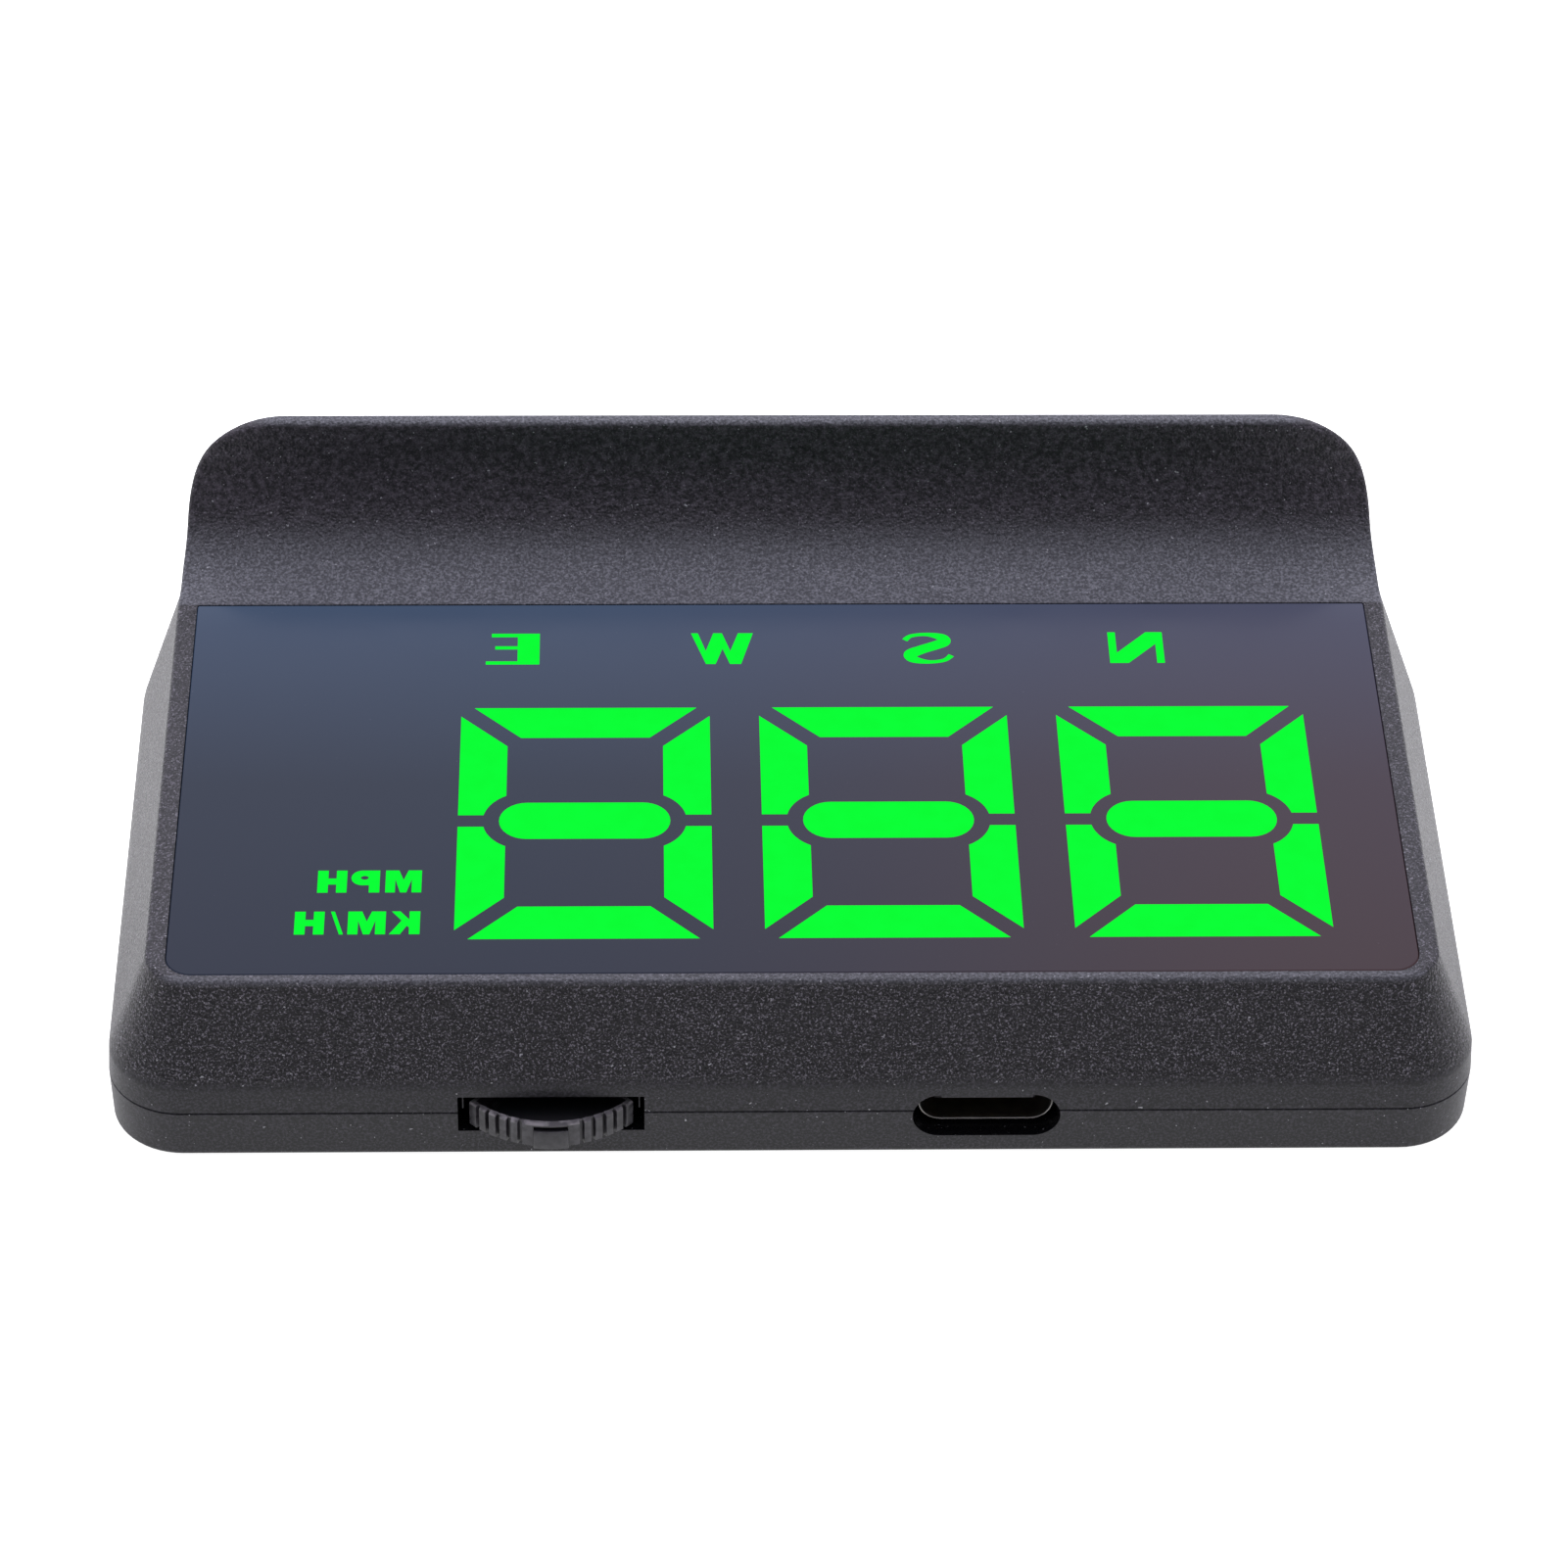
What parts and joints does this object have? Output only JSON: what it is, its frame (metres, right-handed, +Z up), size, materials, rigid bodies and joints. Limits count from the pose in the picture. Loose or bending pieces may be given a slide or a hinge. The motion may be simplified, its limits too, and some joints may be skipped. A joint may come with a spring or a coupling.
{
  "type": "dashboard head-up speedometer",
  "caption": "Palm-sized dashboard unit with a mirrored digital speed display, a curved hood along its back, a thumb dial and a USB-C port in its front edge.",
  "frame": {"origin": "centre of the non-slip pad's underside, where the unit rests on a dashboard", "axes": "+X to the driver's right along the case's long side, +Y away from the driver towards the windscreen, +Z up out of the display"},
  "size_m": [0.09, 0.055, 0.0222],
  "materials": {
    "case_plastic": "fine spark-eroded grain on the upper housing, satin on the lower band and bottom cover",
    "black_plastic": "satin",
    "rubber": "matt with a fine texture",
    "smoked_lens": "polished smoked acrylic",
    "foam_tape": "matt foam",
    "mask_film": "matt black print",
    "green_diffuser": "milky sheet lit green from below",
    "white_plastic": "satin",
    "circuit_board": "solder resist",
    "led_body": "moulded resin",
    "ceramic": "fired ceramic with a silvered patch",
    "chip_resin": "matt epoxy",
    "steel": "plated, satin",
    "tantalum": "moulded resin",
    "black_nylon": "satin"
  },
  "bodies": {
    "case": {"backup_cell": "steel", "bottom_cover": "case_plastic", "buzzer": "black_plastic", "case_screw_back_left": "steel", "case_screw_back_right": "steel", "case_screw_front_left": "steel", "case_screw_front_right": "steel", "crystal": "steel", "dial_switch_base": "black_plastic", "display_lens": "smoked_lens", "filter_capacitor": "tantalum", "gps_module": "steel", "gps_patch_antenna": "ceramic", "led_distance_unit": "led_body", "led_driver": "chip_resin", "led_left_a": "led_body", "led_left_b": "led_body", "led_left_c": "led_body", "led_left_d": "led_body", "led_left_e": "led_body", "led_left_f": "led_body", "led_left_g": "led_body", "led_middle_a": "led_body", "led_middle_b": "led_body", "led_middle_c": "led_body", "led_middle_d": "led_body", "led_middle_e": "led_body", "led_middle_f": "led_body", "led_middle_g": "led_body", "led_right_a": "led_body", "led_right_b": "led_body", "led_right_c": "led_body", "led_right_d": "led_body", "led_right_e": "led_body", "led_right_f": "led_body", "led_right_g": "led_body", "led_speed_unit": "led_body", "lens_gasket": "foam_tape", "light_block": "white_plastic", "light_sensor": "chip_resin", "main_pcb": "circuit_board", "microcontroller": "chip_resin", "non_slip_pad": "rubber", "pcb_screw_back_left": "steel", "pcb_screw_back_right": "steel", "pcb_screw_front_left": "steel", "pcb_screw_front_right": "steel", "press_dome": "steel", "segment_diffuser": "green_diffuser", "segment_mask": "mask_film", "upper_housing": "case_plastic", "usb_c_shell": "steel", "usb_c_tongue": "black_plastic", "voltage_regulator": "chip_resin"},
    "carriage": {"dial_carriage": "black_nylon", "dial_pivot_pin": "steel", "centring_spring": "steel"},
    "dial": {"dial_wheel": "black_plastic"}
  },
  "joints": [
    {"name": "dial_press", "type": "slide", "parent": "case", "child": "carriage", "axis": [0, 1, 0], "range_m": [0, 0.0004], "stiffness_N_per_m": 1500, "deforming": ["press_dome"]},
    {"name": "dial_turn", "type": "hinge", "parent": "carriage", "child": "dial", "pos_m": [-0.01585, -0.0208, 0.0038], "axis": [0, 0, 1], "range_deg": [-12, 12], "stiffness_Nm_per_rad": 0.02, "deforming": ["centring_spring"]}
  ]
}
